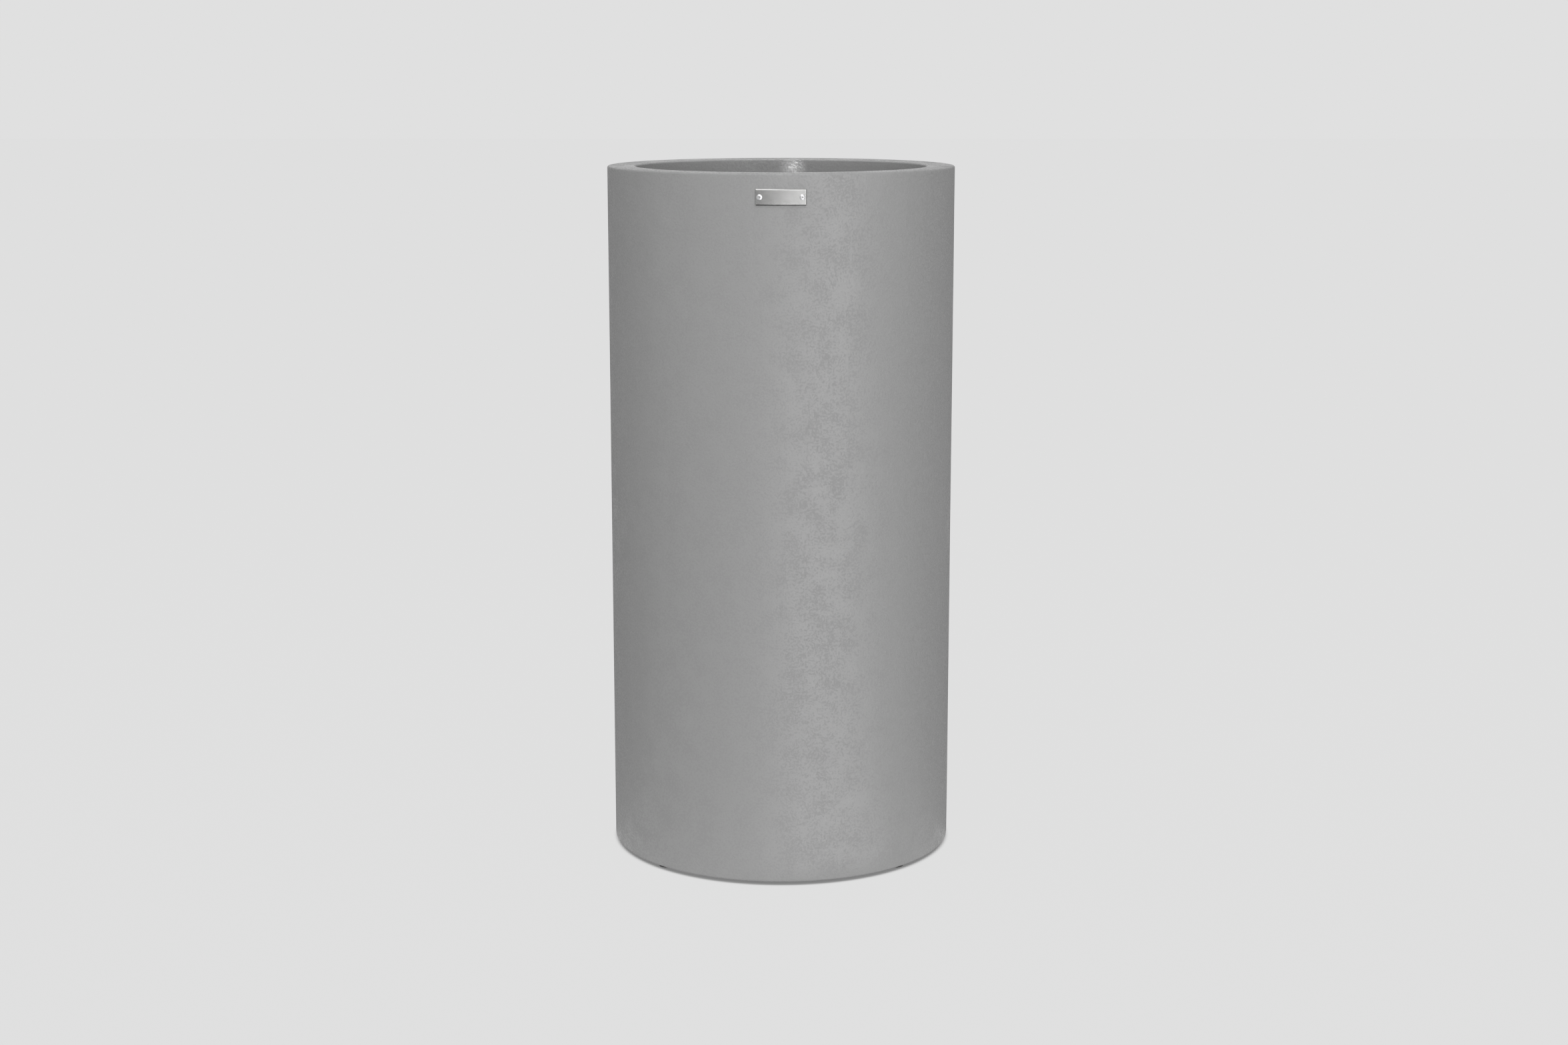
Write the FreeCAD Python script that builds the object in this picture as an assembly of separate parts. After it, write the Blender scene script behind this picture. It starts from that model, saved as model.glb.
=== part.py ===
import FreeCAD, Part
import math
import os

# Tall cylindrical fibreglass floor planter, in millimetres.
# The axis of the cylinder is Z, the ground is Z = 0 and the badge faces -Y.
#
# Three laminated mouldings make the vessel. The cylinder wall ends at the bottom in a foot
# turned inwards. The floor disc beds down on that foot and is glassed in with a tape. The rim
# ring is a channel: a flat top, a return hanging inside the mouth, and a short skirt that laps
# inside the wall. A metal badge, two blind rivets, a rubber drain plug and rubber pads finish it.

# ---- Vessel ----
OVERALL_HEIGHT = 1000.0       # ground to the flat top of the rim
OUTER_DIAMETER = 500.0
WALL_THICKNESS = 5.0
EDGE_RADIUS = 3.0             # eased outside corners of rim and foot
COVE_LEG = 4.0                # glass mat bridges an inside corner, bevelled by this much

# ---- Rim ring ----
RIM_WIDTH = 40.0              # flat top as seen from above, wall included
RIM_THICKNESS = 5.0
RETURN_DEPTH = 60.0           # how far the inner lip hangs below the rim's top
RETURN_THICKNESS = 5.0
RETURN_END_BEVEL = 1.5        # trimmed end of the return
SKIRT_DEPTH = 14.0            # lap inside the wall, below the rim's underside
SKIRT_THICKNESS = 5.0
RIM_BEAD_HEIGHT = 5.0         # bonding paste squeezed out under the skirt
RIM_BEAD_EDGE = 1.0

# ---- Foot and pads ----
FOOT_WIDTH = 34.0             # inward flange, wall included
FOOT_THICKNESS = 6.0
PAD_THICKNESS = 3.0
PAD_DIAMETER = 26.0
PAD_TAPER = 0.8               # the pad is that much smaller in radius where it meets the ground
PAD_COUNT = 4
PAD_FIRST_ANGLE = 45.0        # degrees from +X

# ---- Floor disc and its glass tape ----
FLOOR_THICKNESS = 8.0
FLOOR_EDGE_GAP = 1.0          # the disc stops this far short of the foot's cove, and paste fills it
FLOOR_FALL = 3.0              # dish towards the drain
FLOOR_FLAT_MARGIN = 6.0       # flat band left beyond the tape and the foot
TAPE_WIDTH = 36.0             # tape along the floor
TAPE_HEIGHT = 40.0            # tape up the wall
TAPE_THICKNESS = 2.0
TAPE_COVE_RADIUS = 12.0

# ---- Drain and plug ----
DRAIN_DIAMETER = 28.0
DRAIN_SEAT_DIAMETER = 64.0    # flat ring round the hole, where the plug's flange seats
PLUG_CLEARANCE = 0.1          # radial, at the top of the hole
PLUG_FLANGE_DIAMETER = 42.0
PLUG_FLANGE_THICKNESS = 4.0
PLUG_LENGTH = 11.0            # below the flange
PLUG_TAPER = 1.4              # radius lost from flange to tip
PLUG_WALL = 4.0               # rubber left round the hollow underside
PLUG_ROOF = 5.0               # rubber left above the hollow, flange included
PLUG_TIP_BEVEL = 1.0
TAB_WIDTH = 20.0
TAB_THICKNESS = 5.0
TAB_HEIGHT = 14.0             # pull tab above the flange
TAB_SINK = 1.0                # root of the tab inside the flange

# ---- Badge ----
BADGE_WIDTH = 70.0            # chord across the front
BADGE_HEIGHT = 22.0
BADGE_THICKNESS = 2.2
BADGE_BEVEL = 1.2
BADGE_FACE_CORNER = 0.4       # rounding of the flat face's corners, inside the bevel
BADGE_DROP = 31.5             # rim's top to the middle of the badge

# ---- Blind rivets ----
RIVET_PITCH = 58.0            # chord between the two rivets
RIVET_DIAMETER = 4.0
RIVET_HOLE_CLEARANCE = 0.1    # radial, in the badge and the wall
RIVET_HEAD_DIAMETER = 7.8
RIVET_HEAD_HEIGHT = 1.5
RIVET_HEAD_EDGE = 0.4
RIVET_CROWN_DIAMETER = 4.4    # flat crown round the bore of the head
RIVET_BULB_DIAMETER = 6.2     # blind side, set against the inside of the wall
RIVET_BULB_LENGTH = 5.0
RIVET_BULB_BEVEL = 0.9
RIVET_BULB_GAP = 0.05         # the bulb's flat face against the curved wall
MANDREL_DIAMETER = 2.2
MANDREL_CLEARANCE = 0.05      # radial, inside the rivet
MANDREL_RECESS = 0.6          # broken end, below the crown of the head
MANDREL_HEAD_DIAMETER = 3.6
MANDREL_HEAD_LENGTH = 1.8

# ---- Worked out from the values above ----
OUTER_RADIUS = OUTER_DIAMETER / 2
BORE_RADIUS = OUTER_RADIUS - WALL_THICKNESS
MOUTH_RADIUS = OUTER_RADIUS - RIM_WIDTH
WALL_BOTTOM = PAD_THICKNESS
WALL_TOP = OVERALL_HEIGHT - RIM_THICKNESS
SKIRT_END = WALL_TOP - SKIRT_DEPTH
FOOT_TOP = WALL_BOTTOM + FOOT_THICKNESS
FLOOR_TOP = FOOT_TOP + FLOOR_THICKNESS
FLOOR_RADIUS = BORE_RADIUS - COVE_LEG - FLOOR_EDGE_GAP
DRAIN_SEAT = FLOOR_TOP - FLOOR_FALL
DRAIN_RADIUS = DRAIN_DIAMETER / 2
BADGE_MIDDLE = OVERALL_HEIGHT - BADGE_DROP
BADGE_FACE_RADIUS = OUTER_RADIUS + BADGE_THICKNESS
RIVET_HOLE_RADIUS = RIVET_DIAMETER / 2 + RIVET_HOLE_CLEARANCE
RIVET_ANGLE = math.degrees(math.asin(RIVET_PITCH / 2 / BADGE_FACE_RADIUS))

ORIGIN = FreeCAD.Vector(0, 0, 0)
UP = FreeCAD.Vector(0, 0, 1)
SIDEWAYS = FreeCAD.Vector(1, 0, 0)
LONE_CORNER_SHARE = 0.98      # most of a side that one rounded corner may take
TWIN_CORNER_SHARE = 0.49      # the same where both ends of the side are rounded


def rounded_corner(before, corner, after):
    """Start, middle and end of the arc at a corner (point, rounding), or None for a sharp one."""
    point, radius = corner
    if radius <= 0:
        return None
    sides = []
    room = []
    for other, other_radius in (before, after):
        side = other - point
        room.append(side.Length * (TWIN_CORNER_SHARE if other_radius > 0 else LONE_CORNER_SHARE))
        sides.append(side.normalize())
    half_angle = sides[0].getAngle(sides[1]) / 2
    reach = min(radius / math.tan(half_angle), *room)
    arc_radius = reach * math.tan(half_angle)
    bisector = (sides[0] + sides[1]).normalize()
    middle = point + bisector * (reach / math.cos(half_angle) - arc_radius)
    return point + sides[0] * reach, middle, point + sides[1] * reach


def section(outline):
    """Flat face in the XZ plane. A sharp corner is (x or radius, z), a rounded one has its radius third."""
    corners = [(FreeCAD.Vector(x, 0, z), sum(rounding)) for x, z, *rounding in outline]
    edges = []
    ends = []
    for i, corner in enumerate(corners):
        arc = rounded_corner(corners[i - 1], corner, corners[(i + 1) % len(corners)])
        if arc:
            edges.append(Part.Arc(*arc).toShape())
            ends.append((arc[0], arc[2]))
        else:
            ends.append((corner[0], corner[0]))
    for i, (_, leaving) in enumerate(ends):
        arriving = ends[(i + 1) % len(ends)][0]
        edges.append(Part.makeLine(leaving, arriving))
    return Part.Face(Part.Wire(Part.__sortEdges__(edges)))


def turned(outline):
    """Solid of revolution about Z."""
    return section(outline).revolve(ORIGIN, UP, 360)


def round_the_front(shape, angle):
    """Turns a solid built along +Z so that it points out of the wall, angle degrees from -Y."""
    placed = shape.copy()
    placed.rotate(ORIGIN, SIDEWAYS, 90)
    placed.rotate(ORIGIN, UP, angle)
    placed.translate(FreeCAD.Vector(0, 0, BADGE_MIDDLE))
    return placed


def rivet_pair(make):
    """The same solid at both rivet places."""
    return [round_the_front(make(), angle) for angle in (-RIVET_ANGLE, RIVET_ANGLE)]


def rivet_drill():
    """Cutter for one rivet hole, through the badge and the wall."""
    reach = BADGE_FACE_RADIUS + RIVET_HEAD_HEIGHT - MOUTH_RADIUS
    return Part.makeCylinder(RIVET_HOLE_RADIUS, reach, FreeCAD.Vector(0, 0, MOUTH_RADIUS), UP)


def cylinder_wall():
    """Straight wall with its foot turned inwards, drilled for the badge."""
    foot_inner = OUTER_RADIUS - FOOT_WIDTH
    wall = turned([
        (OUTER_RADIUS, WALL_BOTTOM, EDGE_RADIUS),
        (OUTER_RADIUS, WALL_TOP),
        (BORE_RADIUS, WALL_TOP),
        (BORE_RADIUS, FOOT_TOP + COVE_LEG),
        (BORE_RADIUS - COVE_LEG, FOOT_TOP),
        (foot_inner, FOOT_TOP),
        (foot_inner, WALL_BOTTOM),
    ])
    return wall.cut(rivet_pair(rivet_drill))


def rim_ring():
    """Channel section: flat top, inner return and the skirt that laps inside the wall."""
    return_outer = MOUTH_RADIUS + RETURN_THICKNESS
    return_end = OVERALL_HEIGHT - RETURN_DEPTH
    skirt_inner = BORE_RADIUS - SKIRT_THICKNESS
    return turned([
        (OUTER_RADIUS, WALL_TOP),
        (OUTER_RADIUS, OVERALL_HEIGHT, EDGE_RADIUS),
        (MOUTH_RADIUS, OVERALL_HEIGHT, EDGE_RADIUS),
        (MOUTH_RADIUS, return_end + RETURN_END_BEVEL),
        (MOUTH_RADIUS + RETURN_END_BEVEL, return_end),
        (return_outer - RETURN_END_BEVEL, return_end),
        (return_outer, return_end + RETURN_END_BEVEL),
        (return_outer, WALL_TOP - COVE_LEG),
        (return_outer + COVE_LEG, WALL_TOP),
        (skirt_inner - COVE_LEG, WALL_TOP),
        (skirt_inner, WALL_TOP - COVE_LEG),
        (skirt_inner, SKIRT_END),
        (BORE_RADIUS, SKIRT_END),
        (BORE_RADIUS, WALL_TOP),
    ])


def rim_bond():
    """Bead of bonding paste in the corner between the skirt's end and the wall."""
    bead_end = SKIRT_END - RIM_BEAD_HEIGHT
    return turned([
        (BORE_RADIUS, SKIRT_END),
        (BORE_RADIUS - SKIRT_THICKNESS, SKIRT_END),
        (BORE_RADIUS - SKIRT_THICKNESS, SKIRT_END - RIM_BEAD_EDGE),
        (BORE_RADIUS - RIM_BEAD_EDGE, bead_end),
        (BORE_RADIUS, bead_end),
    ])


def floor_disc():
    """Laminated disc, flat where it beds on the foot and dished towards the drain."""
    widest_cover = max(TAPE_WIDTH, FOOT_WIDTH - WALL_THICKNESS)
    dish_radius = BORE_RADIUS - widest_cover - FLOOR_FLAT_MARGIN
    seat_radius = DRAIN_SEAT_DIAMETER / 2
    return turned([
        (FLOOR_RADIUS, FOOT_TOP),
        (FLOOR_RADIUS, FLOOR_TOP),
        (dish_radius, FLOOR_TOP),
        (seat_radius, DRAIN_SEAT),
        (DRAIN_RADIUS, DRAIN_SEAT),
        (DRAIN_RADIUS, DRAIN_SEAT - FLOOR_THICKNESS),
        (seat_radius, DRAIN_SEAT - FLOOR_THICKNESS),
        (dish_radius, FOOT_TOP),
    ])


def floor_bond():
    """Glass tape that ties floor and wall together, with the paste that fills the gap under it."""
    tape_face = BORE_RADIUS - TAPE_THICKNESS
    tape_end = BORE_RADIUS - TAPE_WIDTH
    return turned([
        (FLOOR_RADIUS, FOOT_TOP),
        (BORE_RADIUS - COVE_LEG, FOOT_TOP),
        (BORE_RADIUS, FOOT_TOP + COVE_LEG),
        (BORE_RADIUS, FLOOR_TOP + TAPE_HEIGHT),
        (tape_face, FLOOR_TOP + TAPE_HEIGHT),
        (tape_face, FLOOR_TOP + TAPE_THICKNESS, TAPE_COVE_RADIUS),
        (tape_end, FLOOR_TOP + TAPE_THICKNESS),
        (tape_end, FLOOR_TOP),
        (FLOOR_RADIUS, FLOOR_TOP),
    ])


def drain_plug():
    """Push-in rubber bung: flange, tapered hollow body and a tab to pull it by."""
    neck_radius = DRAIN_RADIUS - PLUG_CLEARANCE
    tip_radius = neck_radius - PLUG_TAPER
    tip = DRAIN_SEAT - PLUG_LENGTH
    flange_radius = PLUG_FLANGE_DIAMETER / 2
    flange_top = DRAIN_SEAT + PLUG_FLANGE_THICKNESS
    hollow_radius = tip_radius - PLUG_WALL
    hollow_top = flange_top - PLUG_ROOF
    bung = turned([
        (0, flange_top),
        (flange_radius, flange_top, PLUG_FLANGE_THICKNESS / 2),
        (flange_radius, DRAIN_SEAT),
        (neck_radius, DRAIN_SEAT),
        (tip_radius, tip + PLUG_TIP_BEVEL),
        (tip_radius - PLUG_TIP_BEVEL, tip),
        (hollow_radius, tip),
        (hollow_radius, hollow_top),
        (0, hollow_top),
    ])
    return bung.fuse(pull_tab(flange_top)).removeSplitter()


def pull_tab(flange_top):
    """Upright tab with a half-round head, rooted in the flange."""
    half_width = TAB_WIDTH / 2
    blade = section([
        (-half_width, flange_top - TAB_SINK),
        (half_width, flange_top - TAB_SINK),
        (half_width, flange_top + TAB_HEIGHT, half_width),
        (-half_width, flange_top + TAB_HEIGHT, half_width),
    ])
    blade.translate(FreeCAD.Vector(0, -TAB_THICKNESS / 2, 0))
    return blade.extrude(FreeCAD.Vector(0, TAB_THICKNESS, 0))


def foot_pads():
    """Self-adhesive rubber pads on the underside of the foot."""
    pad_radius = PAD_DIAMETER / 2
    pad = turned([
        (0, 0),
        (pad_radius - PAD_TAPER, 0),
        (pad_radius, WALL_BOTTOM),
        (0, WALL_BOTTOM),
    ])
    pad.translate(FreeCAD.Vector(OUTER_RADIUS - FOOT_WIDTH / 2, 0, 0))
    pads = []
    for i in range(PAD_COUNT):
        placed = pad.copy()
        placed.rotate(ORIGIN, UP, PAD_FIRST_ANGLE + i * 360 / PAD_COUNT)
        pads.append(placed)
    return Part.makeCompound(pads)


def badge_plate():
    """Blank plate bent to the wall, with a bevel all round its face and two rivet holes."""
    half_angle = math.degrees(math.asin(BADGE_WIDTH / 2 / BADGE_FACE_RADIUS))
    bottom = BADGE_MIDDLE - BADGE_HEIGHT / 2
    top = BADGE_MIDDLE + BADGE_HEIGHT / 2
    outline = section([
        (OUTER_RADIUS, bottom),
        (BADGE_FACE_RADIUS, bottom),
        (BADGE_FACE_RADIUS, top),
        (OUTER_RADIUS, top),
    ])
    outline.rotate(ORIGIN, UP, -90 - half_angle)
    plate = outline.revolve(ORIGIN, UP, 2 * half_angle)
    plate = plate.makeFillet(BADGE_BEVEL + BADGE_FACE_CORNER, edges_through_thickness(plate))
    plate = plate.makeChamfer(BADGE_BEVEL, edges_round_face(plate))
    return plate.cut(rivet_pair(rivet_drill))


def distance_from_axis(point):
    return math.hypot(point.x, point.y)


def edges_through_thickness(plate):
    """The four short edges that run from the wall side of the plate to its face."""
    return [e for e in plate.Edges if spans_thickness(e)]


def spans_thickness(edge):
    reaches = [distance_from_axis(v.Point) for v in edge.Vertexes]
    return max(reaches) - min(reaches) > BADGE_THICKNESS / 2


def edges_round_face(plate):
    """The edges that bound the plate's outer face."""
    near_face = BADGE_FACE_RADIUS - BADGE_THICKNESS / 4
    return [e for e in plate.Edges if all(distance_from_axis(v.Point) > near_face for v in e.Vertexes)]


def badge_rivet():
    """Set blind rivet, built along +Z with heights measured from the planter's axis."""
    shank = RIVET_DIAMETER / 2
    bore = MANDREL_DIAMETER / 2 + MANDREL_CLEARANCE
    head = RIVET_HEAD_DIAMETER / 2
    crown = BADGE_FACE_RADIUS + RIVET_HEAD_HEIGHT
    bulb = RIVET_BULB_DIAMETER / 2
    bulb_face = BORE_RADIUS - RIVET_BULB_GAP
    blind_end = bulb_face - RIVET_BULB_LENGTH
    return turned([
        (bore, crown),
        (RIVET_CROWN_DIAMETER / 2, crown, RIVET_HEAD_HEIGHT),
        (head, BADGE_FACE_RADIUS + RIVET_HEAD_EDGE),
        (head, BADGE_FACE_RADIUS),
        (shank, BADGE_FACE_RADIUS),
        (shank, bulb_face),
        (bulb - RIVET_BULB_BEVEL, bulb_face),
        (bulb, bulb_face - RIVET_BULB_BEVEL),
        (bulb, blind_end + RIVET_BULB_BEVEL),
        (bulb - RIVET_BULB_BEVEL, blind_end),
        (bore, blind_end),
    ])


def rivet_mandrel():
    """Steel stem left inside a set rivet, with its head against the blind end."""
    stem = MANDREL_DIAMETER / 2
    broken_end = BADGE_FACE_RADIUS + RIVET_HEAD_HEIGHT - MANDREL_RECESS
    blind_end = BORE_RADIUS - RIVET_BULB_GAP - RIVET_BULB_LENGTH
    head = MANDREL_HEAD_DIAMETER / 2
    return turned([
        (0, broken_end),
        (stem, broken_end),
        (stem, blind_end),
        (head, blind_end),
        (stem, blind_end - MANDREL_HEAD_LENGTH),
        (0, blind_end - MANDREL_HEAD_LENGTH),
    ])


def badge_rivets():
    return Part.makeCompound(rivet_pair(badge_rivet))


def rivet_mandrels():
    return Part.makeCompound(rivet_pair(rivet_mandrel))


SUB_PARTS = (
    cylinder_wall,
    rim_ring,
    rim_bond,
    floor_disc,
    floor_bond,
    drain_plug,
    foot_pads,
    badge_plate,
    badge_rivets,
    rivet_mandrels,
)


def main():
    os.makedirs("parts", exist_ok=True)
    for make in SUB_PARTS:
        shape = make()
        shape.exportStep(os.path.join("parts", make.__name__ + ".step"))
        state = "valid" if shape.isValid() else "NOT VALID"
        print(f"{make.__name__}: {len(shape.Solids)} solid(s), {shape.Volume / 1000:.1f} cm3, {state}")


main()
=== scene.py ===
import math

import bmesh
import bpy
from mathutils import Matrix, Vector, noise


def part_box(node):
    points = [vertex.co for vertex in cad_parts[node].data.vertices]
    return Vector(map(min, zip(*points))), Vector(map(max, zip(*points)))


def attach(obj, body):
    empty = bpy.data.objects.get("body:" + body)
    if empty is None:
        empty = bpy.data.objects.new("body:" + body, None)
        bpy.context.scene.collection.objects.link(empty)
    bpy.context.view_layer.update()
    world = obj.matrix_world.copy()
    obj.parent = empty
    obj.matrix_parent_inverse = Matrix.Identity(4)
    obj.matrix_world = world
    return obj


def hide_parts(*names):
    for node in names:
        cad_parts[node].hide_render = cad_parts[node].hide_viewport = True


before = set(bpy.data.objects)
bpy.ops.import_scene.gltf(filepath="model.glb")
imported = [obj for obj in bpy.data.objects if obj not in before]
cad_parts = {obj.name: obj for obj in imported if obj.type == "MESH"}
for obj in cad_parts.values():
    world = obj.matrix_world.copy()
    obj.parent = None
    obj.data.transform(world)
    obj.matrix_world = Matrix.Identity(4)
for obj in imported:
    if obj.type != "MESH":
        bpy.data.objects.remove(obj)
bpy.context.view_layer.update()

# Tall cylindrical fibreglass planter: the looks built round the packed model.
# Every length is in metres in the packed model's own frame: Z is up, the ground is Z = 0 and the
# badge faces -Y. Azimuths are measured from -Y towards +X, as seen from the badge's side.

bl_info = {
    "name": "Tall Fibreglass Planter",
    "version": (1, 0, 0),
    "blender": (4, 5, 0),
    "location": "View3D > Sidebar > Planter",
    "description": "Builds a tall gelcoat planter and the plain studio that it stands in",
    "category": "Add Mesh",
}

MM = 0.001

WALL_LOW, WALL_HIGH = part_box("cylinder_wall")
RIM_LOW, RIM_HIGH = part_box("rim_ring")
BEAD_LOW, BEAD_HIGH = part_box("rim_bond")
DISC_LOW, DISC_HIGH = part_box("floor_disc")
TAPE_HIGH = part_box("floor_bond")[1]
PLUG_LOW, PLUG_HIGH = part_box("drain_plug")
PADS_LOW, PADS_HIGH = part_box("foot_pads")
BADGE_LOW, BADGE_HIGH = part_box("badge_plate")


def linear(hex_colour):
    """Linear colour of an sRGB hex value such as #999999."""
    shares = [int(hex_colour[i:i + 2], 16) / 255 for i in (1, 3, 5)]
    return tuple(s / 12.92 if s <= 0.04045 else ((s + 0.055) / 1.055) ** 2.4 for s in shares)


def rgba(colour):
    return (*colour, 1.0)


# ---------------------------------------------------------------- settings

def length(name, description, default):
    """A length that the user may change."""
    return bpy.props.FloatProperty(
        name=name, description=description, default=default, min=0.0,
        precision=4, subtype="DISTANCE", unit="LENGTH")


def tint(name, description, hex_colour):
    """A colour that the user may change, given as an sRGB hex value."""
    return bpy.props.FloatVectorProperty(
        name=name, description=description, default=linear(hex_colour), size=3,
        min=0.0, max=1.0, subtype="COLOR")


def bearing(name, description, degrees):
    """A direction or an opening angle that the user may change."""
    return bpy.props.FloatProperty(
        name=name, description=description, default=math.radians(degrees),
        subtype="ANGLE", unit="ROTATION")


def level(name, description, default):
    """A lamp's brightness, on a scale where 1 is the white of the picture."""
    return bpy.props.FloatProperty(name=name, description=description, default=default, min=0.0)


class VesselSizes(bpy.types.PropertyGroup):
    """Wall, foot and rim."""
    radius: length("Radius", "Outside radius of wall and rim", RIM_HIGH.x)
    wall: length("Wall", "Thickness of the laminated wall", 5 * MM)
    wall_bottom: length("Wall bottom", "Underside of the foot above the ground", WALL_LOW.z)
    wall_top: length("Wall top", "Joint between wall and rim above the ground", WALL_HIGH.z)
    foot_inner: length("Foot inner radius", "Inner edge of the foot", 216 * MM)
    foot_top: length("Foot top", "Upper face of the foot above the ground", DISC_LOW.z + 3 * MM)
    edge: length("Edge", "Rounding of the rim's and the foot's outside corners", 3 * MM)
    cove: length("Cove", "Leg of the filled inside corners", 4 * MM)
    rim_top: length("Rim top", "Flat top of the rim above the ground", RIM_HIGH.z)
    mouth: length("Mouth radius", "Inner face of the rim's return", 210 * MM)
    return_wall: length("Return", "Thickness of the rim's return", 5 * MM)
    return_end: length("Return end", "Lower end of the return above the ground", RIM_LOW.z)
    return_bevel: length("Return bevel", "Bevel of the return's trimmed end", 1.5 * MM)
    skirt: length("Skirt", "Thickness of the skirt that laps inside the wall", 5 * MM)
    skirt_end: length("Skirt end", "Lower end of the skirt above the ground", BEAD_HIGH.z)
    swell: length("Swell", "Unevenness of the laid-up wall, hollow to crest", 0.25 * MM)
    swell_span: length("Swell span", "Distance from one hollow of the wall to the next", 110 * MM)


class FloorSizes(bpy.types.PropertyGroup):
    """Floor disc, glass tape, plug and pads."""
    disc_radius: length("Disc radius", "Edge of the floor disc", DISC_HIGH.x)
    disc_top: length("Disc top", "Outer, flat part of the floor above the ground", DISC_HIGH.z)
    disc_wall: length("Disc thickness", "Thickness of the floor disc", 8 * MM)
    dish_radius: length("Dish radius", "Where the dish towards the drain starts", 203 * MM)
    seat_radius: length("Seat radius", "Flat seat round the drain", 32 * MM)
    seat: length("Seat", "Height of that seat above the ground", DISC_HIGH.z - 3 * MM)
    drain_radius: length("Drain radius", "Radius of the drain hole", 14 * MM)
    tape_end: length("Tape end", "Radius that the tape reaches in to along the floor", 209 * MM)
    tape_top: length("Tape top", "How high the tape reaches up the wall", TAPE_HIGH.z)
    tape: length("Tape thickness", "Thickness of the laid tape", 2 * MM)
    tape_cove: length("Tape cove", "Rounding of the tape in the corner", 12 * MM)
    tape_waver: length("Tape waver", "How far the tape's hand-laid edges wander", 1.6 * MM)
    tape_lap: length("Tape lap", "Overlap of one length of tape on the next", 45 * MM)
    flange_radius: length("Flange radius", "Radius of the plug's flange", PLUG_HIGH.x)
    flange: length("Flange", "Thickness of the plug's flange", 4 * MM)
    neck_radius: length("Plug neck", "Radius of the plug where it fills the drain", 13.9 * MM)
    tip_radius: length("Plug tip", "Radius of the plug at its lower end", 12.5 * MM)
    hollow_radius: length("Plug hollow", "Radius of the hollow in the plug's underside", 8.5 * MM)
    tab_width: length("Tab width", "Width of the pull tab", 20 * MM)
    tab_thickness: length("Tab thickness", "Thickness of the pull tab", 5 * MM)
    tab_flare: length("Tab flare", "Moulded flare at the root of the tab", 1.5 * MM)
    pad_radius: length("Pad radius", "Radius of a rubber pad", 13 * MM)
    pad_taper: length("Pad taper", "Radius lost towards the ground", 0.8 * MM)
    pad_circle: length("Pad circle", "Radius of the circle that the pads stand on", 233 * MM)


class BadgeSizes(bpy.types.PropertyGroup):
    """Metal plate and its blind rivets."""
    width: length("Width", "Chord across the front of the plate", 70 * MM)
    height: length("Height", "Height of the plate", BADGE_HIGH.z - BADGE_LOW.z)
    thickness: length("Thickness", "Thickness of the plate", 2.2 * MM)
    bevel: length("Bevel", "Bevel round the plate's face", 1.2 * MM)
    corner: length("Corner", "Rounding of the face's corners, inside the bevel", 0.4 * MM)
    middle: length("Middle", "Height of the plate's centre", (BADGE_LOW.z + BADGE_HIGH.z) / 2)
    rivet_pitch: length("Rivet pitch", "Chord between the two rivets", 58 * MM)
    rivet_radius: length("Rivet radius", "Radius of the rivet's body", 2 * MM)
    head_radius: length("Head radius", "Radius of the rivet's dome", 3.9 * MM)
    head: length("Head", "Height of the rivet's dome", 1.5 * MM)
    crown_radius: length("Crown radius", "Flat crown round the bore of the dome", 2.2 * MM)
    bulb_radius: length("Bulb radius", "Radius of the blind end, inside the wall", 3.1 * MM)
    bulb: length("Bulb", "Length of the blind end", 5 * MM)
    mandrel_radius: length("Mandrel radius", "Radius of the broken steel stem", 1.1 * MM)
    mandrel_recess: length("Mandrel recess", "Depth of the broken end in the dome", 0.35 * MM)
    mandrel_head: length("Mandrel head", "Radius of the stem's head, inside the wall", 1.8 * MM)


class Finishes(bpy.types.PropertyGroup):
    """Colours of the planter's materials."""
    gelcoat: tint("Gelcoat", "Pigmented gelcoat", "#9b9b9b")
    gelcoat_shade: tint("Gelcoat, darker", "The gelcoat where its pigment lies thicker", "#949494")
    flow_coat: tint("Flow coat", "Grey coat brushed over the inside of the laminate", "#7f7f7e")
    strand: tint("Strand", "Glass strand that shows paler through that coat", "#999996")
    paste: tint("Paste", "Bonding paste", "#aeaba3")
    rubber: tint("Rubber", "Moulded black rubber", "#262626")
    rubber_bloom: tint("Rubber bloom", "Pale bloom on old rubber", "#343433")
    stainless: tint("Stainless", "Brushed stainless steel", "#cfcfce")
    aluminium: tint("Aluminium", "Rivet aluminium", "#d6d6d8")
    mandrel: tint("Mandrel", "Broken steel of the mandrel", "#b4b4b2")


class StudioLight(bpy.types.PropertyGroup):
    """Lamps, background and camera."""
    backdrop: tint("Backdrop", "Floor and background as the camera sees them", "#e0e0e0")
    ambient: level("Ambient", "Even light from all round", 0.52)
    key: level("Key", "Tall softbox in front, to the right", 1.42)
    key_azimuth: bearing("Key azimuth", "Middle of the key softbox, from -Y towards +X", 23)
    fill: level("Fill", "Tall softbox straight in front", 0.37)
    high: level("High", "Softbox high in front, which also lights the inside", 2.2)
    top: level("Top", "Softbox overhead", 0.7)
    low: level("Low", "Softbox lying on the ground in front", 0.14)
    board: level("Board", "White board on the ground under the key, for reflections only", 2.1)
    key_board: level("Key board", "White board upright at the key, for reflections only", 2.4)
    glint: level("Glint", "Power of the narrow spot on the far side of the mouth, in watts", 60.0)
    well: level("Well", "Power of the spot that lights the floor inside, in watts", 250.0)
    lens: length("Focal length", "Focal length of the camera", 56.18 * MM)
    distance: length("Camera distance", "How far the camera stands in front of the axis", 3.562)
    eye: length("Camera height", "Height of the camera above the floor", 1.161)
    pitch: bearing("Camera pitch", "How far the camera looks down", 10.90)


# ---------------------------------------------------------------- shapes

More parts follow.
